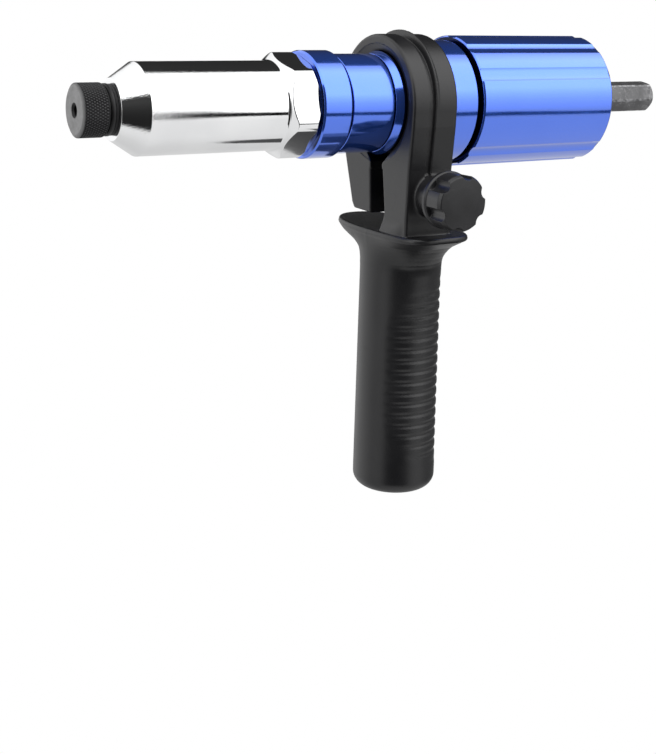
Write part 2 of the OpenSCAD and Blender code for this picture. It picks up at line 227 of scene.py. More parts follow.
def oxide_steel():
    m = Mat("black_oxide_steel", (0.012, 0.012, 0.013), 0.2, 0.42, Specular_IOR_Level=0.28)
    wear = m.attr("wear")
    grain = m.noise(900.0, 3, 0.6)
    dark = m.mix(m.span(grain, 0.3, 0.7), (0.004, 0.004, 0.0045), (0.010, 0.010, 0.011))
    base = m.mix(m.math("MULTIPLY", wear, 0.75), dark, (0.075, 0.076, 0.079))
    face = m.attr("face")
    s = m.xyz()
    rad = m.math("SQRT", m.math("ADD", m.math("MULTIPLY", s[1], s[1]), m.math("MULTIPLY", s[2], s[2])))
    rings = m.noise(1.0, 2, 0.5, m.join(m.math("MULTIPLY", rad, 4200.0), 0.0, 0.0))
    facecol = m.mix(m.span(m.math("ADD", m.math("MULTIPLY", rings, 0.4), m.math("MULTIPLY", m.noise(330.0, 3), 0.6)), 0.3, 0.7),
                    (0.15, 0.15, 0.152), (0.24, 0.24, 0.243))
    m.color(m.mix(face, base, facecol))
    m.rough(m.math("ADD", m.span(grain, 0.3, 0.7, 0.36, 0.5), m.math("MULTIPLY", face, 0.06)))
    m.bump(m.math("ADD", m.math("MULTIPLY", grain, 0.6), m.math("MULTIPLY", m.math("MULTIPLY", rings, face), 0.5)), 0.004, 0.6)
    return m.m


def shank_steel():
    m = Mat("phosphate_steel", (0.12, 0.12, 0.125), 0.75, 0.45, Specular_IOR_Level=0.5)
    grain = m.noise(1400.0, 3, 0.65)
    cloud = m.noise(170.0, 3, 0.6)
    x, arc = m.around()
    base = m.mix(m.span(cloud, 0.3, 0.7), (0.092, 0.092, 0.095), (0.150, 0.150, 0.153))
    # scratches: thin ridges of a stretched noise, at two slants
    s = m.xyz()
    a1 = m.noise(1.0, 1, 0.4, m.join(m.math("MULTIPLY", m.math("ADD", s[0], m.math("MULTIPLY", s[2], 0.5)), 700.0), m.math("MULTIPLY", s[1], 120.0), m.math("MULTIPLY", s[2], 130.0)), 1.2)
    a2 = m.noise(1.0, 1, 0.4, m.join(m.math("MULTIPLY", s[0], 150.0), m.math("MULTIPLY", s[1], 300.0), m.math("MULTIPLY", m.math("SUBTRACT", s[2], m.math("MULTIPLY", s[0], 0.35)), 900.0)), 0.8)
    line1 = m.ramp(m.math("ABSOLUTE", m.math("SUBTRACT", a1, 0.5)), [(0.0, 1.0), (0.012, 0.0)])
    line2 = m.ramp(m.math("ABSOLUTE", m.math("SUBTRACT", a2, 0.52)), [(0.0, 1.0), (0.010, 0.0)])
    gate = m.ramp(m.noise(130.0, 2), [(0.50, 0.0), (0.60, 1.0)])
    scr = m.math("MULTIPLY", m.math("MAXIMUM", line1, line2), gate)
    wear = m.attr("wear")
    rub = m.math("MULTIPLY", wear, m.ramp(m.noise(520.0, 3, 0.7), [(0.40, 0.0), (0.62, 1.0)]))
    worn = m.math("MAXIMUM", m.math("MULTIPLY", scr, 0.75), rub, clamp=True)
    m.color(m.mix(worn, base, (0.42, 0.42, 0.43)))
    m.rough(m.math("SUBTRACT", m.span(grain, 0.3, 0.7, 0.40, 0.52), m.math("MULTIPLY", worn, 0.12)))
    m.bump(m.math("SUBTRACT", m.math("MULTIPLY", grain, 0.5), scr), 0.008, 0.6)
    return m.m


def nylon():
    m = Mat("black_nylon", (0.008, 0.008, 0.009), 0.0, 0.46, Specular_IOR_Level=0.5)
    spark = m.noise(2600.0, 3, 0.6)
    cloud = m.noise(48.0, 3, 0.55)
    m.color(m.mix(m.span(cloud, 0.3, 0.7), (0.0062, 0.0062, 0.0072), (0.0105, 0.0104, 0.0116)))
    scuff = m.ramp(m.noise(210.0, 4, 0.7), [(0.60, 0.0), (0.70, 1.0)])
    m.rough(m.math("ADD", m.span(cloud, 0.3, 0.7, 0.34, 0.42), m.math("MULTIPLY", scuff, 0.06)))
    m.bump(m.math("ADD", spark, m.math("MULTIPLY", m.noise(700.0, 2), 0.6)), 0.028, 0.55)
    return m.m


def knob_plastic():
    m = Mat("black_plastic", (0.008, 0.008, 0.009), 0.0, 0.36, Specular_IOR_Level=0.5)
    cloud = m.noise(150.0, 3, 0.6)
    scuff = m.ramp(m.noise(430.0, 4, 0.75), [(0.60, 0.0), (0.74, 1.0)])
    m.color(m.mix(m.math("MULTIPLY", scuff, 0.5), m.mix(m.span(cloud, 0.3, 0.7), (0.006, 0.006, 0.007), (0.011, 0.011, 0.013)), (0.035, 0.035, 0.038)))
    m.rough(m.math("ADD", m.span(cloud, 0.3, 0.7, 0.33, 0.43), m.math("MULTIPLY", scuff, 0.12)))
    m.bump(m.noise(1500.0, 3, 0.6), 0.010, 0.5)
    return m.m


def steel(name, col, rough, ring=0.4, metallic=1.0):
    m = Mat(name, col, metallic, rough)
    x, arc = m.around()
    lines = m.noise(1.0, 3, 0.6, m.join(m.math("MULTIPLY", x, 3000.0), m.math("MULTIPLY", arc, 80.0), 0.0))
    cloud = m.noise(200.0, 3, 0.6)
    m.color(m.mix(m.span(cloud, 0.3, 0.7), tuple(c * 0.85 for c in col), tuple(min(1, c * 1.12) for c in col)))
    m.rough(m.span(m.math("ADD", m.math("MULTIPLY", lines, ring), m.math("MULTIPLY", cloud, 1 - ring)), 0.3, 0.7, rough * 0.8, rough * 1.25))
    m.bump(lines, 0.003, 0.5)
    return m.m


def rubber():
    m = Mat("black_rubber", (0.014, 0.014, 0.015), 0.0, 0.62, Specular_IOR_Level=0.4)
    g = m.noise(1300.0, 3, 0.6)
    m.color(m.mix(g, (0.011, 0.011, 0.012), (0.020, 0.020, 0.021)))
    m.rough(m.span(g, 0.3, 0.7, 0.56, 0.70))
    m.bump(g, 0.012, 0.5)
    return m.m


M_CHROME = chrome()
M_BARREL = anodised("blue_anodised_barrel", 0.35)
M_SLEEVE = anodised("blue_anodised_sleeve", 1.0)
M_OXIDE = oxide_steel()
M_SHANK = shank_steel()
M_NYLON = nylon()
M_KNOB = knob_plastic()
M_RUBBER = rubber()
M_STEEL = steel("hardened_steel", (0.33, 0.335, 0.35), 0.34)
M_JAW = steel("jaw_steel", (0.25, 0.255, 0.27), 0.38)
M_BRIGHT = steel("bright_steel", (0.58, 0.585, 0.60), 0.20)
M_SPRING = steel("spring_steel", (0.20, 0.205, 0.22), 0.34)
M_BLACKED = steel("blackened_steel", (0.030, 0.030, 0.032), 0.45)


# ------------------------------------------------------------------ mesh helpers
def mesh_object(name, verts, polys, material, normals=None, attrs=None, sharp=None, merge=False):
    """verts in millimetres; polys is a list of index arrays, one per polygon size."""
    me = bpy.data.meshes.new(name)
    v = np.ascontiguousarray(np.asarray(verts, np.float64) * MM, dtype=np.float32)
    me.vertices.add(len(v))
    me.vertices.foreach_set("co", v.ravel())
    polys = [np.asarray(p, np.int32) for p in polys if len(p)]
    loops = np.concatenate([p.ravel() for p in polys])
    sizes = np.concatenate([np.full(len(p), p.shape[1], np.int32) for p in polys])
    starts = np.concatenate([[0], np.cumsum(sizes)[:-1]]).astype(np.int32)
    me.loops.add(len(loops))
    me.loops.foreach_set("vertex_index", loops)
    me.polygons.add(len(sizes))
    me.polygons.foreach_set("loop_start", starts)
    me.update(calc_edges=True)
    for k, a in (attrs or {}).items():
        me.attributes.new(k, "FLOAT", "POINT").data.foreach_set("value", np.asarray(a, np.float32))
    if merge:
        bm = bmesh.new()
        bm.from_mesh(me)
        bmesh.ops.remove_doubles(bm, verts=bm.verts, dist=1e-7)
        bmesh.ops.dissolve_degenerate(bm, edges=bm.edges, dist=1e-8)
        bm.to_mesh(me)
        bm.free()
    me.polygons.foreach_set("use_smooth", np.ones(len(me.polygons), bool))
    if sharp is not None:
        me.set_sharp_from_angle(angle=math.radians(sharp))
    if normals is not None:
        me.normals_split_custom_set_from_vertices(np.asarray(normals, np.float32))
    me.validate()
    me.materials.append(material)
    ob = bpy.data.objects.new(name, me)
    scene.collection.objects.link(ob)
    return ob


def rounded(points, closed=True, step=14.0, support=0.07):
    """A profile of (x, r, corner radius) points with its corners rounded, and a support point beside each corner."""
    n, out = len(points), []
    for i in range(n):
        x, r = points[i][0], points[i][1]
        f = points[i][2] if len(points[i]) > 2 else 0.0
        if f <= 0 or (not closed and i in (0, n - 1)):
            out.append((x, r))
            continue
        b = np.array((x, r), float)
        a = np.array(points[i - 1][:2], float)
        c = np.array(points[(i + 1) % n][:2], float)
        la, lc = np.linalg.norm(a - b), np.linalg.norm(c - b)
        u, w = (a - b) / la, (c - b) / lc
        ang = math.acos(max(-1, min(1, float(u @ w))))
        if ang > math.pi - 0.02:
            out.append((x, r))
            continue
        t = min(f / math.tan(ang / 2), 0.45 * la, 0.45 * lc)
        f = t * math.tan(ang / 2)
        k = (u + w) / np.linalg.norm(u + w)
        cen = b + k * f / math.sin(ang / 2)
        p0, p1 = b + u * t, b + w * t
        a0 = math.atan2(*(p0 - cen)[::-1])
        a1 = math.atan2(*(p1 - cen)[::-1])
        d = (a1 - a0 + math.pi) % (2 * math.pi) - math.pi
        m = max(2, math.ceil(abs(math.degrees(d)) / step))
        out.append(tuple(p0 + u * min(support, 0.2 * la)))
        for j in range(m + 1):
            q = a0 + d * j / m
            out.append((cen[0] + f * math.cos(q), cen[1] + f * math.sin(q)))
        out.append(tuple(p1 + w * min(support, 0.2 * lc)))
    return out


def spread(profile, x0, x1, gap, rmin=0.0):
    """Adds points to the straight runs between x0 and x1 so that none is longer than gap."""
    out = []
    n = len(profile)
    for i in range(n):
        a, b = profile[i], profile[(i + 1) % n]
        out.append(a)
        if min(a[0], b[0]) >= x0 - 1e-6 and max(a[0], b[0]) <= x1 + 1e-6 and min(a[1], b[1]) > rmin:
            k = int(math.hypot(b[0] - a[0], b[1] - a[1]) / gap)
            for j in range(1, k + 1):
                t = j / (k + 1)
                out.append((a[0] + (b[0] - a[0]) * t, a[1] + (b[1] - a[1]) * t))
    return out


def smin(a, b, k):
    h = np.clip(0.5 + 0.5 * (b - a) / k, 0, 1)
    return b * (1 - h) + a * h - k * h * (1 - h)


def smax(a, b, k):
    return -smin(-a, -b, k)


def sstep(a, b, x):
    t = np.clip((x - a) / (b - a), 0, 1)
    return t * t * (3 - 2 * t)


def angles(n, extra=()):
    """Angles round the axis in degrees: n even steps, and the extra ones."""
    a = sorted(set(round(x % 360.0, 4) for x in list(np.arange(n) * 360.0 / n) + list(extra)))
    keep = [a[0]]
    for x in a[1:]:
        if x - keep[-1] > 0.02:
            keep.append(x)
    return np.radians(np.array(keep))


def turned(name, profile, material, phis=None, limit=None, closed=True, shape=None, attrs=None, sharp=38.0, axis_fn=None):
    """A turned piece. Each profile point is (x, radius); phi runs from -Y towards +Z. shape(x, r, phi) may return new radii."""
    phis = angles(192) if phis is None else phis
    p = np.array(profile, float)
    x = np.repeat(p[:, 0][:, None], len(phis), 1)
    r = np.repeat(p[:, 1][:, None], len(phis), 1)
    ph = np.repeat(phis[None, :], len(p), 0)
    if shape is not None:
        r = shape(x, r, ph)
    v = np.stack([x, -r * np.cos(ph), r * np.sin(ph)], -1).reshape(-1, 3)
    if axis_fn is not None:
        v = axis_fn(v)
    n, m = len(p), len(phis)
    i = np.arange(n if closed else n - 1)
    j = np.arange(m)
    I, J = np.meshgrid(i, j, indexing="ij")
    I2, J2 = (I + 1) % n, (J + 1) % m
    quads = np.stack([I * m + J, I2 * m + J, I2 * m + J2, I * m + J2], -1).reshape(-1, 4)
    extra = {k: np.asarray(f(x, r, ph), float).reshape(-1) for k, f in (attrs or {}).items()}
    pole = bool((p[:, 1] < 1e-6).any())
    return mesh_object(name, v, [quads], material, attrs=extra, sharp=sharp, merge=pole)


def finish_piece(ob, body, slot, *nodes):
    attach(ob, body)
    if nodes:
        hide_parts(*nodes)
    return ob


# ------------------------------------------------------------------ nosepiece
def build_nosepiece():
    prof = rounded([
        (-158.4, 1.7), (-187.35, 1.7, 0.1), (-188.0, 2.35, 0.12), (-188.0, 6.95, 0.12), (-187.45, 8.05, 0.20),
        (-180.3, 8.05, 0.1), (-179.9, 7.7, 0.08), (-179.9, 7.1), (-179.35, 7.1), (-179.35, 7.45, 0.08), (-179.0, 7.75, 0.12),
        (-178.25, 7.75, 0.12), (-178.0, 7.45), (-178.0, 6.0), (-168.6, 6.0), (-168.0, 5.4), (-168.0, 2.9), (-159.1, 2.9), (-158.4, 2.4)])
    prof = spread(prof, -187.7, -179.9, 0.075, 7.9)
    count = 56

    def pyramid(x, ph):
        pitch = 2 * math.pi * 8.05 / count
        a = ph * count / (2 * math.pi)
        b = (x + 180.0) * math.tan(math.radians(31)) / pitch
        u = np.abs(((a + b) % 1.0) - 0.5) * 2
        w = np.abs(((a - b) % 1.0) - 0.5) * 2
        return np.minimum(1 - u, 1 - w)

    def shape(x, r, ph):
        on = (r > 7.9) * sstep(-187.50, -187.30, x) * (1 - sstep(-180.35, -180.05, x))
        h = np.clip(pyramid(x, ph) * 1.75, 0, 1)
        return r - on * 0.25 * (1 - h)

    def wear(x, r, ph):
        on = (r > 7.7) * sstep(-187.50, -187.30, x) * (1 - sstep(-180.35, -180.05, x))
        tip = sstep(0.80, 1.0, np.clip(pyramid(x, ph) * 1.75, 0, 1))
        rim = ((x < -187.3) & (r > 7.2)) * 0.35 + ((np.abs(x + 178.3) < 0.12) & (r > 7.5)) * 0.5
        return np.clip(on * tip + rim, 0, 1)

    def face(x, r, ph):
        return np.where((x < -187.93) & (r > 2.3) & (r < 7.1), 1.0, np.where((x < -187.50) & (r > 6.9), 0.25, 0.0))

    ob = turned("nosepiece_detail", prof, M_OXIDE, np.linspace(0, 2 * math.pi, count * 8, endpoint=False), shape=shape,
                attrs={"wear": wear, "face": face}, sharp=60)
    finish_piece(ob, "nose", "black_oxide_steel", "nosepiece")


# ------------------------------------------------------------------ nose sleeve
HEX_CORNERS = [41.6 + 60 * k for k in range(6)]
HEX_ROUND = 4.0     # radius of the polished-over corners


def hex_radius(phi_deg):
    """Distance from the axis to a 30 mm hexagon whose corners are rounded."""
    off = np.abs((phi_deg - 41.6 + 30.0) % 60.0 - 30.0)
    c = (15.0 - HEX_ROUND) / math.cos(math.radians(30))
    o = np.radians(off)
    flat = 15.0 / np.cos(np.radians(30.0 - off))
    arc = c * np.cos(o) + np.sqrt(np.maximum(HEX_ROUND ** 2 - (c * np.sin(o)) ** 2, 0))
    return np.where(off < 30 - math.degrees(math.atan(c / 2 / 15.0)), arc, flat)


def build_nose_sleeve():
    prof = rounded([
        (-177.1, 6.05), (-177.1, 9.2, 0.18), (-176.8, 9.42, 0.15), (-169.8, 14.05, 0.35), (-124.7, 14.05, 1.1), (-124.1, 14.65, 0.5),
        (-122.15, 16.75, 0.3), (-115.6, 16.75, 0.3), (-114.1, 15.25, 0.15), (-114.1, 13.05), (-126.9, 13.05), (-126.9, 11.0),
        (-167.0, 11.0), (-168.5, 9.5), (-168.5, 6.05)], step=8)
    prof = spread(prof, -124.6, -114.1, 0.16, 14.2)
    prof = spread(prof, -169.7, -126.0, 3.0, 13.9)
    ph = angles(360, [c + d for c in HEX_CORNERS for d in (-8, -7.2, -6.8, -6, -5, -4, -3, -2, -1, 0, 1, 2, 3, 4, 5, 6, 6.8, 7.2, 8)])

    def shape(x, r, phi):
        return np.where((x > -124.4) & (r > 14.6), smin(r, hex_radius(np.degrees(phi)), 0.08), r)

    ob = turned("nose_sleeve_detail", prof, M_CHROME, ph, shape=shape, sharp=50)
    finish_piece(ob, "barrel", "polished_chrome", "nose_sleeve")


# ------------------------------------------------------------------ barrel
def build_barrel():
    prof = rounded([
        (-126.5, 10.5), (-126.5, 12.4, 0.1), (-125.9, 13.0, 0.1), (-114.0, 13.0), (-114.0, 16.75, 0.2), (-113.45, 17.2, 0.22),
        (-104.3, 17.2, 0.25), (-104.0, 16.9, 0.1), (-104.0, 15.6), (-102.85, 15.6), (-102.85, 15.85, 0.08), (-102.65, 16.05, 0.12),
        (-87.7, 16.05, 0.2), (-87.4, 15.75, 0.1), (-87.4, 15.5), (-86.9, 15.5), (-86.9, 16.0, 0.12), (-84.5, 16.95, 0.4), (-67.0, 16.95),
        (-67.0, 20.0, 0.15), (-66.45, 20.5, 0.25), (-57.9, 20.5, 0.3), (-57.35, 19.95, 0.2), (-57.2, 19.6), (-57.2, 18.6), (-56.1, 18.6),
        (-56.1, 19.1), (-32.6, 19.1), (-32.0, 18.5), (-32.0, 15.2), (-42.0, 15.2), (-42.0, 7.7), (-47.0, 7.7), (-47.0, 10.5)], step=10)
    prof = spread(prof, -114, -57, 3.0, 15.8)

    def painted_shade(x, r, ph):
        # painted shade: the walls of the narrow grooves, the gap before the rear sleeve, the length under the clamp
        # ring and a band of the front shoulder on the -Y side are painted near-black because little light gets there
        at = (np.degrees(ph) + 180.0) % 360.0 - 180.0
        side = sstep(-60, -46, at) * (1 - sstep(46, 60, at))
        walls = (((x > -104.05) & (x < -102.82) & (r < 15.95)) | ((x > -87.45) & (x < -86.85) & (r < 15.8))
                 | ((x > -57.3) & (x < -56.0) & (r < 19.8)) | ((x > -84.42) & (x < -67.02) & (r < 17.0)))
        return np.maximum(walls * 1.0, ((x < -113.95) & (r > 13.1)) * side)

    ob = turned("barrel_detail", prof, M_BARREL, angles(288), attrs={"painted_shade": painted_shade}, sharp=45)
    finish_piece(ob, "barrel", "blue_anodised", "barrel")


# ------------------------------------------------------------------ rear sleeve
FLUTES = [28, 57, 86, 143, 171, 200, 257, 286, 315]


def build_rear_sleeve():
    prof = rounded([
        (-31.4, 19.2), (-56.2, 19.2), (-56.2, 21.55, 0.12), (-55.75, 22.0, 0.25), (-0.95, 22.0, 0.45), (0.0, 21.1, 0.35), (0.0, 9.0, 0.1),
        (-3.6, 9.0), (-3.6, 7.6), (-5.2, 7.6), (-5.2, 14.0), (-13.3, 14.0), (-13.3, 15.0), (-14.5, 15.0), (-14.5, 14.4), (-15.1, 15.0),
        (-18.0, 16.5), (-31.4, 16.5)], step=10)
    prof = spread(prof, -56.3, 0.1, 2.5, 20.0)
    extra = [f + s * d for f in FLUTES for s in (-1, 1) for d in (0.0, 1, 2, 3, 4, 4.7, 5.1, 5.35, 5.55, 5.7, 5.85, 6.0, 6.2, 6.5)]
    ph = angles(240, extra)
    depth, rc = 0.62, 6.0
    D = 22.0 + rc - depth

    def shape(x, r, phi):
        out = r.copy()
        a = np.degrees(phi)
        for f in FLUTES:
            off = np.radians((a - f + 180) % 360 - 180)
            near = np.abs(off) < math.radians(9)
            s = rc * rc - (D * np.sin(off)) ** 2
            cut = np.where(near & (s > 0), D * np.cos(off) - np.sqrt(np.maximum(s, 0)), 99.0)
            out = np.where(near & (r > 20.0), smin(out, cut, 0.06), out)
        return out

    def painted_shade(x, r, ph):
        # painted shade: the sleeve's front face, in the gap behind the barrel's collar, is painted near-black
        return ((x < -56.15) & (r < 21.45)) * 1.0

    ob = turned("rear_sleeve_detail", prof, M_SLEEVE, ph, shape=shape, attrs={"painted_shade": painted_shade}, sharp=40)
    finish_piece(ob, "barrel", "blue_anodised", "rear_sleeve")


# ------------------------------------------------------------------ spindle
def build_spindle():
    inner = [(0.35, 0.0), (0.35, 5.0), (0.5, 6.0, 0.1), (-13.25, 6.0)]
    prof = rounded([
        (-84.0, 0.0), (-84.0, 5.0, 0.2), (-83.0, 6.0, 0.2), (-44.0, 6.0), (-44.0, 7.4), (-33.0, 7.4), (-33.0, 14.2, 0.15), (-32.7, 14.5, 0.15),
        (-28.3, 14.5, 0.15), (-28.0, 14.2, 0.15), (-28.0, 9.0), (-20.0, 9.0), (-20.0, 8.0), (-13.25, 8.0), (-13.25, 6.0), (0.25, 6.0, 0.2),
        (0.5, 5.6), (0.5, 0.0)], closed=False)
    # the lead screw has a real trapezoidal thread, cut inside its bearing length
    scr = []
    for a, b in zip(prof[:-1], prof[1:]):
        scr.append(a)
        if a[1] > 5.9 and b[1] > 5.9 and a[0] < -80 and b[0] > -50:
            k = 260
            scr += [(a[0] + (b[0] - a[0]) * t / k, 6.0) for t in range(1, k)]
    scr.append(prof[-1])

    def shape(x, r, phi):
        u = ((x / 2.0 + phi / (2 * math.pi)) % 1.0)
        tooth = np.clip((np.abs(u - 0.5) - 0.14) / 0.12, 0, 1)
        on = (x > -82.6) & (x < -46.5) & (r > 5.9) & (r < 6.1)
        return np.where(on, r - 1.0 * (1 - tooth), r)

    ob = turned("spindle_inner", scr, M_STEEL, angles(96), closed=False, shape=shape, sharp=35)
    # hex shank
    p2 = rounded([(0.3, 0.0), (0.3, 6.2), (33.6, 6.2, 0.4), (34.6, 5.45, 0.5), (35.75, 4.1, 0.5), (36.0, 3.5, 0.2), (36.0, 0.0)], closed=False, step=10)
    p2 = spread(p2[:-1], 0.2, 36.0, 0.30, 1.0)[:-1] + [p2[-2], p2[-1]]
    corners = [50 + 60 * k for k in range(6)]
    ph = angles(180, [c + d for c in corners for d in (-5, -3.5, -2.5, -1.7, -1.0, -0.4, 0.4, 1.0, 1.7, 2.5, 3.5, 5)])

    def hexed(x, r, phi):
        off = ((np.degrees(phi) - 50) % 60.0) - 30.0
        flat = 5.0 / np.cos(np.radians(off))
        flat = smin(flat, 5.56, 0.12)
        return smin(r, flat, 0.10) * (r > 0.01)

    def wear(x, r, phi):
        off = 30 - np.abs(((np.degrees(phi) - 50) % 60.0) - 30.0)
        edge = 1 - sstep(1.5, 7.0, off)
        tip = sstep(29.0, 35.0, x) * 0.8
        return np.clip(edge * 0.95 + tip * 0.75, 0, 1)

    sh = turned("hex_shank", p2, M_SHANK, ph, closed=False, shape=hexed, attrs={"wear": wear}, sharp=50)
    finish_piece(ob, "spindle", "hardened_steel", "drive_spindle")
    finish_piece(sh, "spindle", "phosphate_steel")


# ------------------------------------------------------------------ side handle
GX = -72.3          # grip axis
XM = -75.9          # middle of the clamp ring
KX = -75.2          # axis of the knob


def poly_sdf(px, py, pts):
    """Signed distance to a polygon, negative inside."""
    pts = [np.array(p, float) for p in pts]
    d = None
    s = None
    n = len(pts)
    for i in range(n):
        a, b = pts[i], pts[i - 1]
        ex, ey = b[0] - a[0], b[1] - a[1]
        wx, wy = px - a[0], py - a[1]
        t = np.clip((wx * ex + wy * ey) / (ex * ex + ey * ey), 0, 1)
        q = (wx - ex * t) ** 2 + (wy - ey * t) ** 2
        d = q if d is None else np.minimum(d, q)
        c1, c2, c3 = py >= a[1], py < b[1], ex * wy > ey * wx
        flip = (c1 & c2 & c3) | (~c1 & ~c2 & ~c3)
        s = np.where(flip, -1.0, 1.0) if s is None else np.where(flip, -s, s)
    return s * np.sqrt(d)


def round_and(a, b, r):
    """Intersection of two solids with its edge rounded to radius r."""
    u = np.maximum(a + r, 0)
    v = np.maximum(b + r, 0)
    return np.minimum(np.maximum(a, b), -r) + np.sqrt(u * u + v * v)


NEAR = [(0, 0), (-22.4, 0), (-22.2, -6), (-20.8, -20), (-20.1, -36), (-20.0, -43.5), (-6.6, -43.5), (-6.6, -34), (-4.6, -19.6), (0, -14)]
FAR = [(0, 0), (22.4, 0), (21.9, -6), (18.6, -19), (13.4, -35.0), (12.0, -36.8), (1.0, -37.0), (2.2, -19.6), (0, -14)]
GAP = [(-4.6, -19.6), (-9.4, -14.2), (9.4, -14.2), (2.2, -19.6), (1.0, -41.0), (-6.6, -41.0), (-6.6, -34)]
GUARD_C = (-72.6, 0.5)      # middle of the finger guard
W_Z = np.array([-55.0, -53.0, -51.0, -49.5, -48.0, -46.5, -45.5, -44.5, -43.7, -42.5])
W_FAR = np.array([0.0, 0.01, 0.06, 0.16, 0.42, 0.71, 0.85, 0.94, 0.975, 0.99])
W_NEAR = np.array([0.0, 0.06, 0.17, 0.27, 0.38, 0.52, 0.68, 0.84, 0.94, 0.98])


def guard_radius():
    """Distance of the guard's outline from its middle, by direction: squarer at the knob's end, rounder at the other."""
    t = np.radians(np.arange(0, 360, 0.5))
    c, s = np.cos(t), np.sin(t)
    b = np.where(s >= 0, 30.4, 26.6)
    m = np.where(s >= 0, 2.3, 3.6)
    x = 14.5 * np.sign(c) * np.abs(c) ** (2 / m)
    y = b * np.sign(s) * np.abs(s) ** (2 / m)
    a = np.unwrap(np.arctan2(y, x))
    th = np.radians(np.arange(-180, 181, 0.5))
    r = np.interp(th, np.concatenate([a - 2 * math.pi, a, a + 2 * math.pi]), np.tile(np.hypot(x, y), 3))
    return th, r, np.gradient(r, th)


G_TH, G_R, G_DR = guard_radius()


def grip_radius(z):
    return 13.9 + 0.36 * np.clip((-60.0 - z) / 66.0, 0, 1)


def grooves(z, th):
    """Depth of the grip's grooves: soft waves inside a panel with rounded corners that leaves the front strip smooth."""
    u = (z + 59.43) / 3.803
    u = np.abs(u - np.round(u))
    w = np.clip(1 - u / 0.36, 0, 1)
    w = w * w * (3 - 2 * w)
    arc = np.abs(th) * 14.25                       # th is zero at +X, the panel's middle
    half_a, half_z, rc = 143 * math.pi / 180 * 14.25, 34.7, 22.0
    qx = arc - (half_a - rc)
    qz = np.abs(z + 91.3) - (half_z - rc)
    d = np.minimum(np.maximum(qx, qz), 0) + np.hypot(np.maximum(qx, 0), np.maximum(qz, 0)) - rc
    return 0.46 * w * sstep(0.6, -9.0, d), sstep(0.5, -4.0, d)


def handle_sdf(x, y, z):
    rho = np.hypot(y, z)
    # clamp ring and legs
    out = np.minimum(np.minimum(rho - 22.4, poly_sdf(y, z, NEAR)), poly_sdf(y, z, FAR))
    g = 1.42 * np.clip(z / 22.4, 0, 1) * sstep(-76.2, -75.6, x) * (1 - sstep(-75.2, -74.3, x))
    g = g - 1.05 * sstep(-78.25, -77.85, x) * (1 - sstep(-76.2, -75.75, x)) * sstep(-27.0, -23.0, z)
    body = round_and(out - g, np.abs(x - XM) - 8.6, 1.0)
    body = smax(body, 17.02 - rho, 0.35)
    body = smax(body, -poly_sdf(y, z, GAP), 0.5)
    # recess inside the front lip
    xf = -84.5 + 0.25 + 0.9 * np.clip((19.4 - rho) / 2.4, 0, 1)
    body = smax(body, -np.maximum(rho - 19.4, (x - xf) * 0.93), 0.25)
    # boss of the knob
    rb = np.hypot(x - KX, z + 28.5)
    boss = round_and(rb - 6.6, np.maximum(-27.2 - y, y + 14.0), 0.6)
    body = smin(body, boss, 1.2)
    # guard, neck and grip
    ux, uy = x - GUARD_C[0], y - GUARD_C[1]
    ua, ur = np.arctan2(uy, ux), np.hypot(ux, uy)
    rgd = np.interp(ua, G_TH, G_R)
    slope = np.interp(ua, G_TH, G_DR) / rgd
    st = (ur - rgd) / np.sqrt(1 + slope * slope)
    guard = round_and(st, np.abs(z + 42.75) - 0.95, 0.85)
    up2 = 0.5 + 0.5 * np.sin(ua)
    w = np.interp(z, W_Z, W_NEAR) * (1 - up2) + np.interp(z, W_Z, W_FAR) * up2
    rn = 13.9 + w * (rgd - 13.9) - 0.5 * sstep(-53.0, -58.0, z)
    sl = slope * w * rgd / rn
    mx = GUARD_C[0] + (GX - GUARD_C[0]) * (1 - w)
    my = GUARD_C[1] * w
    nr = np.hypot(x - mx, y - my)
    neck = np.maximum((nr - rn) / np.sqrt(1 + sl * sl) * 0.72, np.maximum(z + 43.3, -60.0 - z))
    low = smin(guard, neck, 0.8)
    th = np.arctan2(y, x - GX)
    gd, panel = grooves(z, th)
    rg = grip_radius(z) - gd - 0.10 * panel
    grip = round_and(np.hypot(x - GX, y) - rg, np.maximum(-134.0 - z, z + 50.0), 4.7)
    low = smin(low, grip, 0.35)
    # the near leg's foot spreads a little where it meets the guard
    t = np.clip((-36.4 - z) / 5.4, 0, 1)
    foot = np.maximum(np.abs(x - XM) - 8.3 - 1.2 * t, np.maximum(y + 6.9 - 1.0 * t, -19.7 - y))
    foot = smax(foot * 0.96, st + 1.4, 0.5)
    foot = round_and(foot, np.maximum(-42.6 - z, z + 36.4), 0.9)
    d = smin(smin(body, foot, 0.3), low, 0.5)
    # bolt hole and nut pocket
    d = smax(d, 3.25 - rb, 0.25)
    hx, hz = np.abs(x - KX), np.abs(z + 28.5)
    hexa = np.maximum(hx, hx * 0.5 + hz * 0.866) - 5.08
    d = smax(d, -np.maximum(hexa, 10.05 - y), 0.25)
    return d


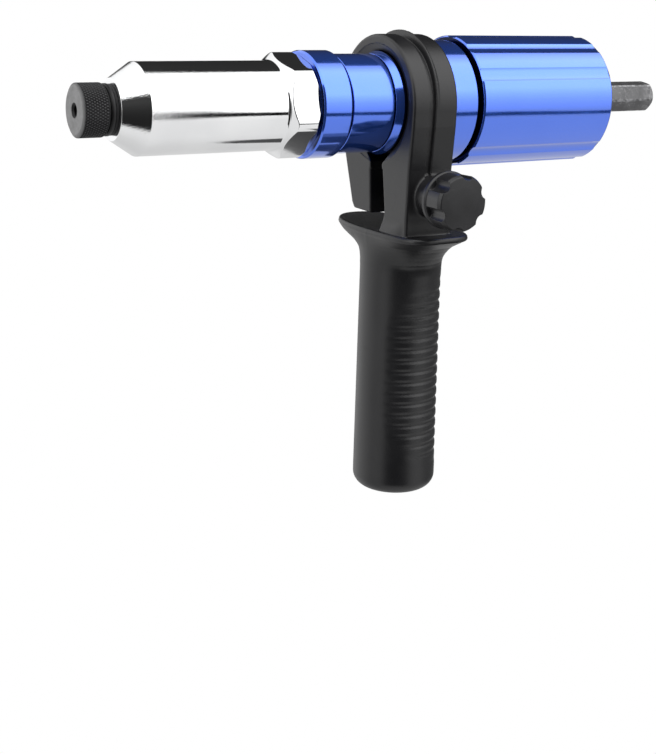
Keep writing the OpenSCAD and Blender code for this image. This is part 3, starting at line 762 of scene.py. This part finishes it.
def surface_nets(f, lo, hi, h):
    ax = [np.arange(a, b + h, h) for a, b in zip(lo, hi)]
    val = np.broadcast_to(f(ax[0][:, None, None], ax[1][None, :, None], ax[2][None, None, :]),
                          tuple(len(a) for a in ax)).astype(np.float32)
    s = val < 0
    n = [k - 1 for k in s.shape]
    cnt = np.zeros(n, np.int8)
    for di in (0, 1):
        for dj in (0, 1):
            for dk in (0, 1):
                cnt += s[di:di + n[0], dj:dj + n[1], dk:dk + n[2]]
    act = np.argwhere((cnt > 0) & (cnt < 8))
    idx = np.full(n, -1, np.int32)
    idx[act[:, 0], act[:, 1], act[:, 2]] = np.arange(len(act))
    pos = np.zeros((len(act), 3))
    num = np.zeros(len(act))
    for axis in range(3):
        o = [k for k in range(3) if k != axis]
        for p in (0, 1):
            for q in (0, 1):
                c0 = act.copy()
                c0[:, o[0]] += p
                c0[:, o[1]] += q
                c1 = c0.copy()
                c1[:, axis] += 1
                v0 = val[c0[:, 0], c0[:, 1], c0[:, 2]]
                v1 = val[c1[:, 0], c1[:, 1], c1[:, 2]]
                m = (v0 < 0) != (v1 < 0)
                t = np.where(m, v0 / np.where(m, v0 - v1, 1), 0)
                pt = c0.astype(float)
                pt[:, axis] += t
                pos[m] += pt[m]
                num[m] += 1
    pos /= num[:, None]
    v = np.stack([lo[k] + pos[:, k] * h for k in range(3)], 1)
    quads = []
    for axis in range(3):
        a, b = [(1, 2), (2, 0), (0, 1)][axis]
        sl0 = [slice(None)] * 3
        sl1 = [slice(None)] * 3
        sl0[axis], sl1[axis] = slice(0, -1), slice(1, None)
        cross = s[tuple(sl0)] != s[tuple(sl1)]
        c = np.argwhere(cross)
        ok = (c[:, a] > 0) & (c[:, b] > 0) & (c[:, a] < s.shape[a] - 1) & (c[:, b] < s.shape[b] - 1)
        c = c[ok]
        inside = s[c[:, 0], c[:, 1], c[:, 2]]
        q = []
        for da, db in ((-1, -1), (0, -1), (0, 0), (-1, 0)):
            e = c.copy()
            e[:, a] += da
            e[:, b] += db
            q.append(idx[e[:, 0], e[:, 1], e[:, 2]])
        q = np.stack(q, 1)
        q[~inside] = q[~inside][:, ::-1]
        quads.append(q)
    return v, np.concatenate(quads)


def grad(f, v, e):
    g = np.zeros_like(v)
    for k in range(3):
        a, b = v.copy(), v.copy()
        a[:, k] += e
        b[:, k] -= e
        g[:, k] = (f(a[:, 0], a[:, 1], a[:, 2]) - f(b[:, 0], b[:, 1], b[:, 2])) / (2 * e)
    return g


def build_handle():
    h = 0.45
    v, q = surface_nets(handle_sdf, (-90.6, -32.6, -135.2), (-55.6, 33.4, 25.2), h)
    for _ in range(3):
        d = handle_sdf(v[:, 0], v[:, 1], v[:, 2])
        g = grad(handle_sdf, v, 0.05)
        step = (d / np.maximum((g * g).sum(1), 0.2))[:, None] * g
        ln = np.linalg.norm(step, axis=1, keepdims=True)
        v = v - step * np.minimum(1, 0.3 / np.maximum(ln, 1e-9))
    nrm = grad(handle_sdf, v, 0.06)
    nrm /= np.maximum(np.linalg.norm(nrm, axis=1, keepdims=True), 1e-9)
    ob = mesh_object("side_handle_moulding", v, [q], M_NYLON, normals=nrm)
    finish_piece(ob, "side_handle", "black_nylon", "handle")


# ------------------------------------------------------------------ knob and its bolt
def build_knob():
    prof = rounded([
        (0.0, 3.0), (0.0, 9.0, 0.15), (0.45, 9.4, 0.3), (1.55, 9.4, 0.3), (2.1, 8.95, 0.1), (2.1, 8.85, 0.1), (2.5, 9.1, 0.1), (8.6, 9.25, 0.9), (9.75, 8.6, 0.5),
        (10.05, 5.0), (10.1, 0.0)], closed=False, step=10)
    prof = spread(prof[:-1], 2.2, 10.2, 0.28, 4.0)[:-1] + [prof[-2], prof[-1]]
    notch = [21 + 60 * k for k in range(6)]
    ph = angles(180, [c + s * d for c in notch for s in (-1, 1) for d in (0, 3, 6, 8, 10, 11.5, 12.5, 13.3, 14, 14.7, 15.5, 16.5, 18)])
    D, rc = 9.9, 2.4

    def shape(x, r, phi):
        a = np.degrees(phi)
        out = r.copy()
        on = sstep(2.15, 2.6, x)
        for c in notch:
            off = np.radians((a - c + 180) % 360 - 180)
            near = np.abs(off) < math.radians(20)
            s = rc * rc - (D * np.sin(off)) ** 2
            cut = np.where(near & (s > 0), D * np.cos(off) - np.sqrt(np.maximum(s, 0)), 99.0)
            out = np.where(near & (r > 4.0), out * (1 - on) + smin(out, cut, 0.35) * on, out)
        return out

    def place(v):
        # profile height runs towards -Y from the washer; phi from +X towards +Z seen from -Y
        hgt, c, s = v[:, 0], -v[:, 1], v[:, 2]
        return np.stack([KX + c, -28.3 - hgt, -28.5 + s], -1)

    ob = turned("knob_moulding", prof, M_KNOB, ph, closed=False, shape=shape, sharp=40, axis_fn=place)
    finish_piece(ob, "knob", "black_plastic", "clamp_knob")

    # bolt with a real M6 thread on the stretch that crosses the clamp
    line = [(-34.3, 0.0), (-34.3, 3.0)] + [(-20.0 + 0.125 * i, 3.0) for i in range(292)] + [(16.5, 2.6), (16.5, 0.0)]

    def thread(x, r, phi):
        u = (x + phi / (2 * math.pi)) % 1.0
        tri = np.abs(u - 0.5) * 2
        on = (x > -19.5) & (x < 16.4) & (r > 2.9)
        return np.where(on, r - 0.52 * np.clip(1.15 - 1.3 * tri, 0, 1), r)

    def bolt_place(v):
        return np.stack([KX + v[:, 1], v[:, 0], -28.5 + v[:, 2]], -1)

    b = turned("clamp_bolt_thread", line, M_BLACKED, angles(48), closed=False, shape=thread, sharp=40, axis_fn=bolt_place)
    finish_piece(b, "knob", "blackened_steel", "clamp_bolt")


build_nosepiece()
build_nose_sleeve()
build_barrel()
build_rear_sleeve()
build_spindle()
build_handle()
build_knob()

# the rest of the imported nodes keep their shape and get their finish
for name, mat in {
    "nose_washer": M_RUBBER, "shaft_seal": M_RUBBER, "jaw_case": M_STEEL, "lock_ring": M_STEEL, "jaw_1": M_JAW, "jaw_2": M_JAW, "jaw_3": M_JAW,
    "jaw_pusher": M_JAW, "jaw_spring": M_SPRING, "pull_tube": M_STEEL, "guide_keys": M_BRIGHT, "thrust_washer_fixed": M_BRIGHT,
    "thrust_balls": M_BRIGHT, "thrust_washer_turning": M_BRIGHT, "bearing_outer_ring": M_BRIGHT, "bearing_balls": M_BRIGHT,
    "bearing_inner_ring": M_BRIGHT, "retaining_ring": M_SPRING, "clamp_washer": M_BLACKED, "clamp_nut": M_BLACKED,
    "nosepiece": M_OXIDE, "nose_sleeve": M_CHROME, "barrel": M_BARREL, "rear_sleeve": M_SLEEVE, "drive_spindle": M_SHANK,
    "handle": M_NYLON, "clamp_knob": M_KNOB, "clamp_bolt": M_BLACKED,
}.items():
    o = NODE[name]
    if not o.material_slots:
        o.data.materials.append(mat)
    for s in o.material_slots:
        s.material = mat


# ------------------------------------------------------------------ floor, light and cards
def emitter(name, color, strength):
    m = bpy.data.materials.new(name)
    m.use_nodes = True
    nt = m.node_tree
    nt.nodes.clear()
    e = nt.nodes.new("ShaderNodeEmission")
    e.inputs[0].default_value = (*color, 1)
    e.inputs[1].default_value = strength
    out = nt.nodes.new("ShaderNodeOutputMaterial")
    nt.links.new(e.outputs[0], out.inputs[0])
    return m


def card(name, pts_mm, level, faces=None):
    """A flat card that only mirror reflections see."""
    me = bpy.data.meshes.new(name)
    me.from_pydata([tuple(c * MM for c in p) for p in pts_mm], [], faces or [tuple(range(len(pts_mm)))])
    me.materials.append(emitter(name + "_tone", (level, level, level), 1.0))
    ob = bpy.data.objects.new(name, me)
    scene.collection.objects.link(ob)
    ob.visible_camera = False
    ob.visible_diffuse = False
    ob.visible_shadow = False
    ob.visible_transmission = False
    ob.visible_volume_scatter = False
    return ob


def studio_world():
    """Long soft boxes over and in front of the tool, a dark hall behind and above it, a dark place where the viewer stands."""
    world = bpy.data.worlds.new("studio")
    scene.world = world
    world.use_nodes = True
    nt = world.node_tree
    bg = nt.nodes["Background"]

    def node(kind, *ins, **props):
        n = nt.nodes.new(kind)
        for k, v in props.items():
            setattr(n, k, v)
        for s, v in zip(n.inputs, ins):
            if isinstance(v, bpy.types.NodeSocket):
                nt.links.new(v, s)
            elif v is not None:
                s.default_value = v
        return n

    def op(kind, a, b=0.0, c=0.0, clamp=False):
        return node("ShaderNodeMath", a, b, c, operation=kind, use_clamp=clamp).outputs[0]

    def smooth(v, a, b, lo=0.0, hi=1.0):
        n = node("ShaderNodeMapRange", v, interpolation_type="SMOOTHSTEP")
        for k, x in (("From Min", a), ("From Max", b), ("To Min", lo), ("To Max", hi)):
            n.inputs[k].default_value = x
        return n.outputs[0]

    d = node("ShaderNodeTexCoord").outputs["Generated"]
    xyz = node("ShaderNodeSeparateXYZ", d).outputs
    turn = op("MULTIPLY", op("ARCTAN2", xyz[2], op("MULTIPLY", xyz[1], -1.0)), 1 / math.pi)   # 0 in front, 0.5 above, 1 behind
    u = op("MULTIPLY_ADD", turn, 0.5, 0.5)
    ramp = node("ShaderNodeValToRGB", u)
    e = ramp.color_ramp.elements
    stops = [(-180, 0.70), (-122, 0.66), (-100, 0.70), (-86, 0.77), (-70, 0.83), (-30, 0.86), (-16, 1.0), (-4, 1.25), (6, 1.5), (16, 1.9),
             (26, 2.4), (78, 2.4), (87, 1.9), (97, 1.25), (160, 1.0), (180, 0.95)]
    while len(e) < len(stops):
        e.new(0.5)
    for el, (deg, v) in zip(e, stops):
        el.position = 0.5 + deg / 360.0
        el.color = (v / 2.5, v / 2.5, v / 2.5, 1)
    level = op("MULTIPLY", ramp.outputs[0], 2.5)
    # the dark hall, seen only by what looks along the tool to the right
    hall = op("MULTIPLY", smooth(turn, 0.554, 0.574), smooth(turn, 0.99, 0.955))
    hall = op("MULTIPLY", hall, smooth(xyz[0], 0.02, 0.16))
    level = op("MULTIPLY", level, smooth(hall, 0.0, 1.0, 1.0, 0.025))
    # the dark place in front, between two azimuths and two heights
    side = op("MULTIPLY", op("ARCTAN2", op("MULTIPLY", xyz[1], -1.0), op("MULTIPLY", xyz[0], -1.0)), 1 / math.pi)
    front = op("MULTIPLY", smooth(side, 0.133, 0.178), smooth(side, 0.60, 0.51))
    front = op("MULTIPLY", front, op("MULTIPLY", smooth(xyz[2], -0.69, -0.645), smooth(xyz[2], 0.60, 0.55)))
    level = op("MULTIPLY", level, smooth(front, 0.0, 1.0, 1.0, 0.02))
    # dimmer to the right, brighter behind on the left
    level = op("MULTIPLY", level, smooth(xyz[0], 0.68, 0.86, 1.0, 0.32))
    back = node("ShaderNodeVectorMath", d, (-0.53, 0.83, -0.2), operation="DOT_PRODUCT").outputs["Value"]
    level = op("MULTIPLY", level, smooth(back, 0.72, 0.95, 1.0, 1.55))
    seen = node("ShaderNodeLightPath").outputs["Is Camera Ray"]
    level = op("ADD", op("MULTIPLY", level, op("SUBTRACT", 1.0, seen)), seen)
    nt.links.new(level, bg.inputs[1])
    bg.inputs[0].default_value = (1, 1, 1, 1)


studio_world()

# the plain pale floor just under the handle's swing; it runs out to the horizon, and only the camera sees it
me = bpy.data.meshes.new("floor")
me.from_pydata([(-9.0, -9.0, -0.1365), (9.0, -9.0, -0.1365), (9.0, 9.0, -0.1365), (-9.0, 9.0, -0.1365)], [], [(0, 1, 2, 3)])
me.materials.append(emitter("floor_white", (1.0, 1.0, 1.0), 1.0))
floor = bpy.data.objects.new("floor", me)
scene.collection.objects.link(floor)
for way in ("diffuse", "glossy", "transmission", "volume_scatter", "shadow"):
    setattr(floor, "visible_" + way, False)

# the dark strip low in front of the tool, which draws the thin line along every polished piece
strip_top = [(-47, -4), (-30, -20), (-12, -37), (16, -57), (64, -68), (95, -80), (152, -80), (185, -80), (247, -98), (420, -98)]
strip_low = [(-40, -133), (-22, -119), (-5, -104), (22, -102), (71, -107), (104, -122), (162, -123), (185, -119), (265, -133), (420, -133)]
pts = [(x, -300, z) for x, z in strip_top] + [(x, -300, z) for x, z in strip_low]
n = len(strip_top)
card("dark_strip", pts, 0.01, [(i, i + 1, n + i + 1, n + i) for i in range(n - 1)])
# the shaded place in front of the handle, which darkens the underside of the barrel's front ring
card("shade_a", [(-86, -45, -58), (-50, -45, -58), (-50, -35, -58), (-86, -35, -58)], 0.30)
card("shade_b", [(-86, -35, -58), (-50, -35, -58), (-50, -17, -58), (-86, -17, -58)], 0.06)

scene.view_settings.view_transform = "Standard"
scene.view_settings.look = "None"
scene.view_settings.exposure = 0.0
scene.view_settings.gamma = 1.0
